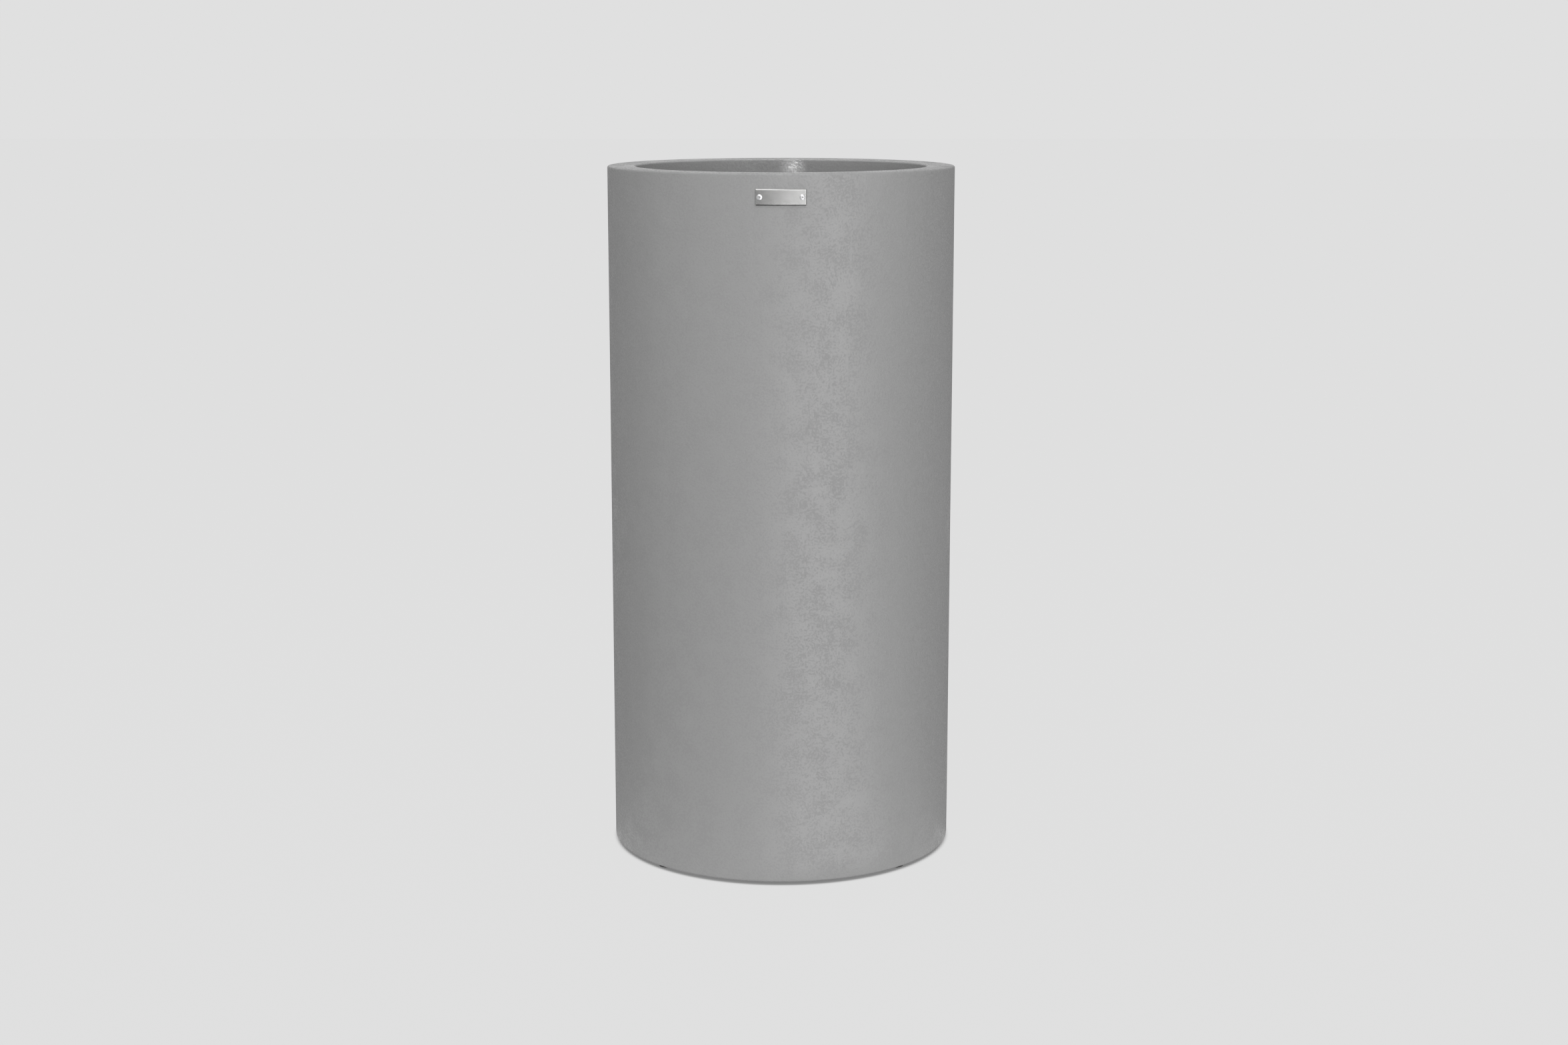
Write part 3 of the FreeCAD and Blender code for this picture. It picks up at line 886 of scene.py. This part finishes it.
class PLANTER_OT_badge(bpy.types.Operator):
    """Build the blank metal plate, bent to the wall and bevelled round its face"""
    bl_idname = "planter.badge"
    bl_label = "Badge plate"

    ALONG = 64
    UP = 20
    CORNER_STEPS = 6
    EDGE_SOFTNESS = 0.15 * MM
    FLAT_INSET = 0.6 * MM

    def execute(self, context):
        size = context.scene.badge_sizes
        wall = context.scene.vessel_sizes.radius
        face = wall + size.thickness
        half_width = face * math.asin(size.width / 2 / face)
        half_height = size.height / 2
        inner = size.bevel + size.corner + self.FLAT_INSET
        steps = eased([
            (inner, wall),
            (0.0, wall, self.EDGE_SOFTNESS),
            (0.0, face - size.bevel, self.EDGE_SOFTNESS),
            (size.bevel, face, self.EDGE_SOFTNESS),
            (inner, face),
        ], closed=False, steps=4)
        loops = []
        for n, (inset, reach) in enumerate(steps):
            corner = 0.0 if n in (0, len(steps) - 1) else size.bevel + size.corner - inset
            flat = self.loop(half_width - inset, half_height - inset, max(corner, 0.0))
            loops.append([self.bent(u / face, v, reach, size.middle) for u, v in flat])
        points = [p for loop in loops for p in loop]
        faces = ring_faces(len(loops), len(loops[0]))
        inner_width = half_width - inner
        inner_height = half_height - inner
        for reach in (wall, face):
            start = len(points)
            for row in range(self.UP + 1):
                for column in range(self.ALONG + 1):
                    u = inner_width * (2 * column / self.ALONG - 1)
                    v = inner_height * (2 * row / self.UP - 1)
                    points.append(self.bent(u / face, v, reach, size.middle))
            for row in range(self.UP):
                for column in range(self.ALONG):
                    a = start + row * (self.ALONG + 1) + column
                    faces.append([a, a + 1, a + self.ALONG + 2, a + self.ALONG + 1])
        form = self.welded(points, faces)
        make_piece("badge_blank", form, [brushed_stainless(context.scene.finishes)], "vessel",
                   ["badge_plate"], crease=50)
        return {"FINISHED"}

    def loop(self, half_width, half_height, corner):
        """Points round a rounded rectangle, the same number for every size."""
        points = []
        sides = (
            (-1, -1, 1, -1, self.ALONG),
            (1, -1, 1, 1, self.UP),
            (1, 1, -1, 1, self.ALONG),
            (-1, 1, -1, -1, self.UP),
        )
        for x0, y0, x1, y1, count in sides:
            start = Vector((x0 * (half_width - corner), y0 * (half_height - corner)))
            end = Vector((x1 * (half_width - corner), y1 * (half_height - corner)))
            out = Vector((y1 - y0, x0 - x1)).normalized() * corner
            points += [start.lerp(end, n / count) + out for n in range(count + 1)]
            after = Vector((x1 - x0, y1 - y0)).normalized() * corner
            for n in range(1, self.CORNER_STEPS):
                turn = n / self.CORNER_STEPS * math.pi / 2
                points.append(end + out * math.cos(turn) + after * math.sin(turn))
        return points

    def bent(self, angle, height, reach, middle):
        """A point of the flat plate, laid round the wall."""
        return Vector((reach * math.sin(angle), -reach * math.cos(angle), middle + height))

    def welded(self, points, faces):
        """The same form with points that share a place made one, and no collapsed faces."""
        places = {}
        kept = []
        index = []
        for point in points:
            key = tuple(round(c * 1e7) for c in point)
            if key not in places:
                places[key] = len(kept)
                kept.append(point)
            index.append(places[key])
        clean = [list(dict.fromkeys(index[n] for n in face)) for face in faces]
        return kept, [face for face in clean if len(face) > 2]


def out_of_the_front(form, badge, angle):
    """A form built along +Z from the planter's axis, turned to point out through the badge."""
    lift = Matrix.Translation((0.0, 0.0, badge.middle))
    return moved(form, lift @ Matrix.Rotation(angle, 4, "Z") @ Matrix.Rotation(math.pi / 2, 4, "X"))


# Gap round the stem in its bore, and between the blind ends and the wall.
RIVET_CLEARANCE = 0.05 * MM


def blind_side(context):
    """Where the rivets' blind ends start and stop inside the wall, from the planter's axis."""
    vessel = context.scene.vessel_sizes
    start = vessel.radius - vessel.wall - RIVET_CLEARANCE
    return start, start - context.scene.badge_sizes.bulb


def rivet_angles(context):
    """Azimuths of the two rivets."""
    badge = context.scene.badge_sizes
    face = context.scene.vessel_sizes.radius + badge.thickness
    angle = math.asin(badge.rivet_pitch / 2 / face)
    return -angle, angle


class PLANTER_OT_rivets(bpy.types.Operator):
    """Build the two set blind rivets"""
    bl_idname = "planter.rivets"
    bl_label = "Blind rivets"

    SEGMENTS = 64
    BORE_ROUNDING = 0.2 * MM
    DOME_ROUNDING = 1.5 * MM
    DOME_EDGE = 0.4 * MM
    EDGE_ROUNDING = 0.35 * MM

    def execute(self, context):
        size = context.scene.badge_sizes
        bore = size.mandrel_radius + RIVET_CLEARANCE
        face = context.scene.vessel_sizes.radius + size.thickness
        crown = face + size.head
        inside, blind_end = blind_side(context)
        outline = eased([
            (bore, crown, self.BORE_ROUNDING),
            (size.crown_radius, crown, self.DOME_ROUNDING),
            (size.head_radius, face + self.DOME_EDGE, self.EDGE_ROUNDING),
            (size.head_radius, face),
            (size.rivet_radius, face),
            (size.rivet_radius, inside),
            (size.bulb_radius, inside, 0.9 * MM),
            (size.bulb_radius, blind_end, 1.2 * MM),
            (bore, blind_end, self.BORE_ROUNDING),
        ], steps=8)
        rivet = turned(lambda angle: outline, self.SEGMENTS)
        both = [out_of_the_front(rivet, size, angle) for angle in rivet_angles(context)]
        make_piece("blind_rivets", joined(*both), [drawn_aluminium(context.scene.finishes)],
                   "vessel", ["badge_rivets"], crease=45)
        return {"FINISHED"}


class PLANTER_OT_mandrels(bpy.types.Operator):
    """Build the broken steel stems left in the rivets"""
    bl_idname = "planter.mandrels"
    bl_label = "Mandrel stubs"

    SEGMENTS = 40
    RING_SPACING = 0.35 * MM
    EDGE_ROUNDING = 0.15 * MM
    HEAD_LENGTH = 1.8 * MM
    HEAD_ROUNDING = 0.5 * MM
    TEAR = 0.14 * MM
    TEAR_SPAN = 0.5 * MM
    TEAR_FROM = 0.2 * MM
    TEAR_TO = 0.05 * MM

    def execute(self, context):
        size = context.scene.badge_sizes
        face = context.scene.vessel_sizes.radius + size.thickness
        broken = face + size.head - size.mandrel_recess
        blind_end = blind_side(context)[1]
        head_end = blind_end - self.HEAD_LENGTH
        outline = divided(eased([
            (0.0, broken),
            (size.mandrel_radius, broken, self.EDGE_ROUNDING),
            (size.mandrel_radius, blind_end),
            (size.mandrel_head, blind_end, self.EDGE_ROUNDING),
            (size.mandrel_radius, head_end, self.HEAD_ROUNDING),
            (0.0, head_end),
        ], closed=False, steps=4), self.RING_SPACING, closed=False)

        def shift(point):
            torn = ramp(point.z, broken - self.TEAR_FROM, broken - self.TEAR_TO)
            return 0.0, self.TEAR * torn * patchy(point, self.TEAR_SPAN, 2.0)

        stub = reshaped(turned(lambda angle: outline, self.SEGMENTS), shift)
        both = [out_of_the_front(stub, size, angle) for angle in rivet_angles(context)]
        make_piece("mandrel_stubs", joined(*both), [broken_steel(context.scene.finishes)],
                   "vessel", ["rivet_mandrels"])
        return {"FINISHED"}


# ---------------------------------------------------------------- stage

class PLANTER_OT_studio(bpy.types.Operator):
    """Build the floor, the background, the lamps and the camera"""
    bl_idname = "planter.studio"
    bl_label = "Studio"

    UP = Vector((0.0, 0.0, 1.0))
    WHITE = (1.0, 1.0, 1.0, 1.0)

    # Floor: how far inside and outside the wall its darkening at the foot runs, which is its own
    # shadow together with a shadow painted into its colour, and how much of what is seen there is the
    # backdrop's plain grey.
    FLOOR_HALF = 30.0
    SHADOW_INSIDE = 6 * MM
    SHADOW_OUTSIDE = 4 * MM
    SHADOW_AHEAD = 5 * MM
    PAINTED_SHADOW_TONE = "#3c3c3c"
    PLAIN_AT_FOOT = 0.24
    PLAIN_BEYOND = 0.98
    FOOT_GLOW = 0.6
    FOOT_GLOW_REACH = 0.3

    # Upright softboxes.
    SOFTBOX_WIDTH = 1.15
    SOFTBOX_HEIGHT = 3.0
    SOFTBOX_MIDDLE = 0.8
    SOFTBOX_DISTANCE = 2.7

    # Square softboxes: place and side.
    HIGH_PLACE = Vector((0.0, -1.8, 3.04))
    HIGH_AIM = Vector((0.0, 0.0, 0.9))
    HIGH_SIDE = 2.0
    TOP_PLACE = Vector((-1.18, -0.2, 3.2))
    TOP_SIDE = 2.4
    LOW_PLACE = Vector((0.15, -0.85, 0.02))
    LOW_SIDE = 1.1

    # Spots.
    GLINT_TARGET = Vector((17 * MM, 209 * MM, 987 * MM))
    GLINT_AZIMUTH = math.radians(-10)
    GLINT_RISE = math.radians(6)
    GLINT_DISTANCE = 1.8
    GLINT_CONE = math.radians(1.0)
    GLINT_SOFTNESS = 10 * MM
    WELL_PLACE = Vector((0.0, 0.0, 3.2))
    WELL_MARGIN = 10 * MM
    WELL_SOFTNESS = 60 * MM

    # Cards: azimuths in degrees, reach from the axis and heights in metres.
    CARD_STEPS = 8
    CARD_LIFT = 1 * MM
    CARD_REACH = 2.8
    BOARD_FROM, BOARD_FULL, BOARD_FADES, BOARD_TO = -12, 8, 42, 60
    BOARD_GAP = 50 * MM
    GREY_FROM, GREY_TO = 88, 166
    GREY_GAP = 6 * MM
    GREY_TONE = "#989898"
    STRIP_FROM, STRIP_TO = -26, 28
    STRIP_TONES = ("#6a6a6a", "#f0f0f0")
    # The badge's dark card is a painted shadow line under its lower bevel.
    SHADE_HALF = 8.1
    SHADE_REACH = 6 * MM
    SHADE_TONE = "#202020"

    CAMERA_RIGHT = 4.2 * MM
    FILM_WIDTH = 36.0
    FAR_CLIP = 200.0

    def execute(self, context):
        light = context.scene.studio_light
        self.floor(context, light)
        self.world(context, light)
        self.upright_softbox(context, "key_softbox", light.key, light.key_azimuth)
        self.upright_softbox(context, "fill_softbox", light.fill, 0.0)
        self.square_softbox(context, "high_softbox", light.high, self.HIGH_PLACE, self.HIGH_AIM,
                            self.HIGH_SIDE)
        self.square_softbox(context, "top_softbox", light.top, self.TOP_PLACE,
                            self.TOP_PLACE - self.UP, self.TOP_SIDE)
        low = self.square_softbox(context, "low_softbox", light.low, self.LOW_PLACE,
                                  self.LOW_PLACE + self.UP, self.LOW_SIDE)
        low.visible_glossy = False
        self.glint(context, light)
        self.well(context, light)
        self.key_boards(context, light)
        self.grey_cards(context)
        self.badge_cards(context)
        self.camera(context, light)
        context.scene.view_settings.view_transform = "Standard"
        return {"FINISHED"}

    def seen(self, tree):
        """1 where the camera, a reflection or a see-through surface looks, and 0 for plain light."""
        path = add(tree, "LightPath").outputs
        either = add(tree, "Math", {0: path["Is Camera Ray"], 1: path["Is Glossy Ray"]},
                     operation="MAXIMUM")
        seen = add(tree, "Math", {0: either.outputs[0], 1: path["Is Transmission Ray"]},
                   operation="MAXIMUM")
        return seen.outputs[0]

    def floor(self, context, light):
        """Matt floor that keeps the shadow close to the foot, darkened there by a painted shadow in
        its colour, and is the backdrop's grey beyond it.
        """
        mesh = bpy.data.meshes.new("studio_floor")
        far = self.FLOOR_HALF
        mesh.from_pydata([(-far, -far, 0), (far, -far, 0), (far, far, 0), (-far, far, 0)], [],
                         [(0, 1, 2, 3)])
        material, tree, place = new_material("matt_studio_floor")
        radius = context.scene.vessel_sizes.radius
        reach = add(tree, "VectorMath", {0: place}, operation="LENGTH").outputs["Value"]
        plain = self.plain_share(tree, place, reach, radius)
        share = add(tree, "Math", {0: plain, 1: self.seen(tree)}, operation="MULTIPLY")
        # The floor's colour is painted dark at the foot: a painted shadow on top of the real one.
        matt_colour = two_tone(tree, plain, linear(self.PAINTED_SHADOW_TONE), light.backdrop)
        matt = add(tree, "BsdfDiffuse", {"Color": matt_colour})
        glow = add(tree, "Emission", {"Color": rgba(light.backdrop), "Strength": 1.0})
        above = add(tree, "MixShader", {0: share.outputs[0], 1: matt.outputs[0], 2: glow.outputs[0]})
        lift = add(tree, "Emission", {"Color": rgba(light.backdrop),
                                      "Strength": self.foot_glow(tree, reach, radius)})
        both = add(tree, "AddShader", {0: above.outputs[0], 1: lift.outputs[0]})
        # Seen from below the floor isn't there, so that the underside can be looked at.
        clear = add(tree, "BsdfTransparent", {"Color": self.WHITE})
        side = add(tree, "NewGeometry").outputs["Backfacing"]
        one_sided = add(tree, "MixShader", {0: side, 1: both.outputs[0], 2: clear.outputs[0]})
        add(tree, "OutputMaterial", {"Surface": one_sided.outputs[0]})
        mesh.materials.append(material)
        floor = bpy.data.objects.new("studio_floor", mesh)
        context.scene.collection.objects.link(floor)

    def plain_share(self, tree, place, reach, radius):
        """Share of plain backdrop, which also fades out the painted shadow: low at the foot, and a
        little further out in front of it.
        """
        ahead = add(tree, "VectorMath", {0: place, 1: (0.0, self.SHADOW_AHEAD, 0.0)},
                    operation="ADD")
        in_front = add(tree, "VectorMath", {0: ahead.outputs[0]}, operation="LENGTH")
        edge = add(tree, "Math", {0: reach, 1: in_front.outputs["Value"]}, operation="MINIMUM")
        return mapped(tree, edge.outputs[0],
                      (radius - self.SHADOW_INSIDE, radius + self.SHADOW_OUTSIDE),
                      (self.PLAIN_AT_FOOT, self.PLAIN_BEYOND), interpolation_type="SMOOTHSTEP")

    def foot_glow(self, tree, reach, radius):
        """Light that the floor gives to the foot and the underside, which the camera can't see."""
        glow = mapped(tree, reach, (radius, radius + self.FOOT_GLOW_REACH), (self.FOOT_GLOW, 0.0))
        path = add(tree, "LightPath").outputs
        shining = add(tree, "Math", {0: glow, 1: path["Is Diffuse Ray"]}, operation="MULTIPLY")
        return shining.outputs[0]

    def world(self, context, light):
        """Even light from all round, with the backdrop's grey for whatever looks at it."""
        world = bpy.data.worlds.new("studio_world")
        world.use_nodes = True
        tree = world.node_tree
        tree.nodes.clear()
        even = add(tree, "Background", {"Color": self.WHITE, "Strength": light.ambient})
        shown = add(tree, "Background", {"Color": rgba(light.backdrop), "Strength": 1.0})
        mix = add(tree, "MixShader", {0: self.seen(tree), 1: even.outputs[0], 2: shown.outputs[0]})
        add(tree, "OutputWorld", {"Surface": mix.outputs[0]})
        context.scene.world = world

    def place_lamp(self, context, lamp, position, aim):
        """Hangs a lamp that the camera can't see, pointing at aim."""
        holder = bpy.data.objects.new(lamp.name, lamp)
        holder.location = position
        holder.rotation_mode = "QUATERNION"
        holder.rotation_quaternion = (aim - position).to_track_quat("-Z", "Y")
        holder.visible_camera = False
        context.scene.collection.objects.link(holder)
        return holder

    def upright_softbox(self, context, name, brightness, azimuth):
        """Tall softbox. Its brightness is what it looks like, where 1 is white."""
        lamp = bpy.data.lights.new(name, "AREA")
        lamp.shape = "RECTANGLE"
        lamp.size = self.SOFTBOX_WIDTH
        lamp.size_y = self.SOFTBOX_HEIGHT
        lamp.energy = brightness * math.pi * self.SOFTBOX_WIDTH * self.SOFTBOX_HEIGHT
        middle = self.UP * self.SOFTBOX_MIDDLE
        out = Vector((math.sin(azimuth), -math.cos(azimuth), 0.0)) * self.SOFTBOX_DISTANCE
        self.place_lamp(context, lamp, out + middle, middle).visible_glossy = False

    def square_softbox(self, context, name, brightness, position, aim, side):
        """Square softbox at a position, pointing at aim."""
        lamp = bpy.data.lights.new(name, "AREA")
        lamp.shape = "SQUARE"
        lamp.size = side
        lamp.energy = brightness * math.pi * side * side
        return self.place_lamp(context, lamp, position, aim)

    def spotlight(self, context, name, watts, position, aim, cone, softness):
        """Spot whose cone is an angle and whose softness is the lamp's own radius."""
        lamp = bpy.data.lights.new(name, "SPOT")
        lamp.energy = watts
        lamp.spot_size = cone
        lamp.spot_blend = 0.4
        lamp.shadow_soft_size = softness
        self.place_lamp(context, lamp, position, aim)

    def glint(self, context, light):
        """Narrow spot over the front rim that makes one patch across the mouth sparkle."""
        level_way = math.cos(self.GLINT_RISE)
        way = Vector((math.sin(self.GLINT_AZIMUTH) * level_way,
                      -math.cos(self.GLINT_AZIMUTH) * level_way,
                      math.sin(self.GLINT_RISE)))
        position = self.GLINT_TARGET + way * self.GLINT_DISTANCE
        self.spotlight(context, "mouth_glint", light.glint, position, self.GLINT_TARGET,
                       self.GLINT_CONE, self.GLINT_SOFTNESS)

    def well(self, context, light):
        """Spot straight above the mouth that reaches the floor inside and misses the rim."""
        size = context.scene.vessel_sizes
        drop = self.WELL_PLACE.z - size.rim_top
        cone = 2 * math.atan((size.mouth - self.WELL_MARGIN) / drop)
        self.spotlight(context, "well_lamp", light.well, self.WELL_PLACE,
                       self.WELL_PLACE - self.UP, cone, self.WELL_SOFTNESS)

    def key_boards(self, context, light):
        """White boards with soft ends, on the ground and upright, for the key's reflection."""
        radius = context.scene.vessel_sizes.radius
        backdrop = tuple(light.backdrop)
        on_ground = ((radius + self.BOARD_GAP, self.CARD_LIFT), (2.7, self.CARD_LIFT))
        at_key = ((self.CARD_REACH, -0.4), (self.CARD_REACH, 2.6))
        boards = (("white_board", light.board, on_ground), ("key_board", light.key_board, at_key))
        for name, brightness, edges in boards:
            tone = (brightness,) * 3
            self.card(context, name + "_left", self.BOARD_FROM, self.BOARD_FULL,
                      (backdrop, tone), edges)
            self.card(context, name, self.BOARD_FULL, self.BOARD_FADES, (tone, tone), edges)
            self.card(context, name + "_right", self.BOARD_FADES, self.BOARD_TO,
                      (tone, backdrop), edges)

    def grey_cards(self, context):
        """Grey cards on both sides behind, upright and on the ground, so the outline stays grey."""
        near = context.scene.vessel_sizes.radius + self.GREY_GAP
        upright = ((self.CARD_REACH, -0.5), (self.CARD_REACH, 3.5))
        on_ground = ((near, self.CARD_LIFT), (2.5, self.CARD_LIFT))
        tones = (linear(self.GREY_TONE),) * 2
        for name, first, last in (("grey_card_right", self.GREY_FROM, self.GREY_TO),
                                  ("grey_card_left", -self.GREY_TO, -self.GREY_FROM)):
            self.card(context, name, first, last, tones, upright)
            self.card(context, name + "_below", first, last, tones, on_ground)

    def badge_cards(self, context):
        """Strip that the badge mirrors, darker to the left, and a dark card under it whose reflection
        in its lower bevel is a painted shadow line.
        """
        radius = context.scene.vessel_sizes.radius
        badge = context.scene.badge_sizes
        below = badge.middle - badge.height / 2
        strip = tuple(linear(tone) for tone in self.STRIP_TONES)
        self.card(context, "badge_strip", self.STRIP_FROM, self.STRIP_TO, strip,
                  ((2.6, 0.6), (2.6, 1.1)))
        # Dark card just under the badge, seen only in reflections: a painted shadow along its lower
        # bevel.
        self.card(context, "badge_shade", -self.SHADE_HALF, self.SHADE_HALF,
                  (linear(self.SHADE_TONE),) * 2,
                  ((radius, below - 1.5 * MM), (radius + self.SHADE_REACH, below - 2.5 * MM)))

    def card(self, context, name, first, last, tones, edges):
        """Card that only reflections see, from one azimuth to another between two edges.

        The edges are given as (reach, height), and the tone goes from the first to the second.
        """
        points = []
        for n in range(self.CARD_STEPS + 1):
            around = math.radians(first + (last - first) * n / self.CARD_STEPS)
            way = Vector((math.sin(around), -math.cos(around), 0.0))
            points += [way * reach + self.UP * height for reach, height in edges]
        faces = [(2 * n, 2 * n + 2, 2 * n + 3, 2 * n + 1) for n in range(self.CARD_STEPS)]
        mesh = bpy.data.meshes.new(name)
        mesh.from_pydata([tuple(p) for p in points], [], faces)
        material, tree, place = new_material(name)
        tone = rgba(tones[0])
        if tones[0] != tones[1]:
            parts = add(tree, "SeparateXYZ", {"Vector": place})
            ahead = add(tree, "Math", {0: parts.outputs["Y"], 1: -1.0}, operation="MULTIPLY")
            azimuth = add(tree, "Math", {0: parts.outputs["X"], 1: ahead.outputs[0]},
                          operation="ARCTAN2")
            share = mapped(tree, azimuth.outputs[0], (math.radians(first), math.radians(last)))
            tone = two_tone(tree, share, *tones)
        glow = add(tree, "Emission", {"Color": tone, "Strength": 1.0})
        add(tree, "OutputMaterial", {"Surface": glow.outputs[0]})
        mesh.materials.append(material)
        card = bpy.data.objects.new(name, mesh)
        card.visible_camera = False
        card.visible_diffuse = False
        card.visible_shadow = False
        card.visible_transmission = False
        context.scene.collection.objects.link(card)

    def camera(self, context, light):
        """Camera where the photograph was taken from."""
        camera = bpy.data.cameras.new("front_camera")
        camera.sensor_width = self.FILM_WIDTH
        camera.lens = light.lens / MM
        camera.clip_end = self.FAR_CLIP
        holder = bpy.data.objects.new("front_camera", camera)
        holder.location = (self.CAMERA_RIGHT, -light.distance, light.eye)
        holder.rotation_euler = (math.pi / 2 - light.pitch, 0.0, 0.0)
        context.scene.collection.objects.link(holder)
        context.scene.camera = holder


PIECES = (
    PLANTER_OT_wall,
    PLANTER_OT_rim,
    PLANTER_OT_rim_paste,
    PLANTER_OT_floor,
    PLANTER_OT_glass_tape,
    PLANTER_OT_plug,
    PLANTER_OT_pads,
    PLANTER_OT_badge,
    PLANTER_OT_rivets,
    PLANTER_OT_mandrels,
    PLANTER_OT_studio,
)
SETTINGS = {
    "vessel_sizes": VesselSizes,
    "floor_sizes": FloorSizes,
    "badge_sizes": BadgeSizes,
    "finishes": Finishes,
    "studio_light": StudioLight,
}


class PLANTER_PT_builder(bpy.types.Panel):
    """Lists the planter's pieces and settings"""
    bl_idname = "PLANTER_PT_builder"
    bl_label = "Fibreglass planter"
    bl_space_type = "VIEW_3D"
    bl_region_type = "UI"
    bl_category = "Planter"

    def draw(self, context):
        for piece in PIECES:
            self.layout.operator(piece.bl_idname)
        for name, group in SETTINGS.items():
            box = self.layout.box()
            box.label(text=group.__doc__)
            for setting in group.__annotations__:
                box.prop(getattr(context.scene, name), setting)


def register():
    for group in SETTINGS.values():
        bpy.utils.register_class(group)
    for name, group in SETTINGS.items():
        setattr(bpy.types.Scene, name, bpy.props.PointerProperty(type=group))
    for piece in PIECES:
        bpy.utils.register_class(piece)
    bpy.utils.register_class(PLANTER_PT_builder)


def unregister():
    bpy.utils.unregister_class(PLANTER_PT_builder)
    for piece in reversed(PIECES):
        bpy.utils.unregister_class(piece)
    for name in SETTINGS:
        delattr(bpy.types.Scene, name)
    for group in reversed(SETTINGS.values()):
        bpy.utils.unregister_class(group)


def main():
    register()
    for piece in PIECES:
        family, action = piece.bl_idname.split(".")
        getattr(getattr(bpy.ops, family), action)()


if __name__ == "__main__":
    main()
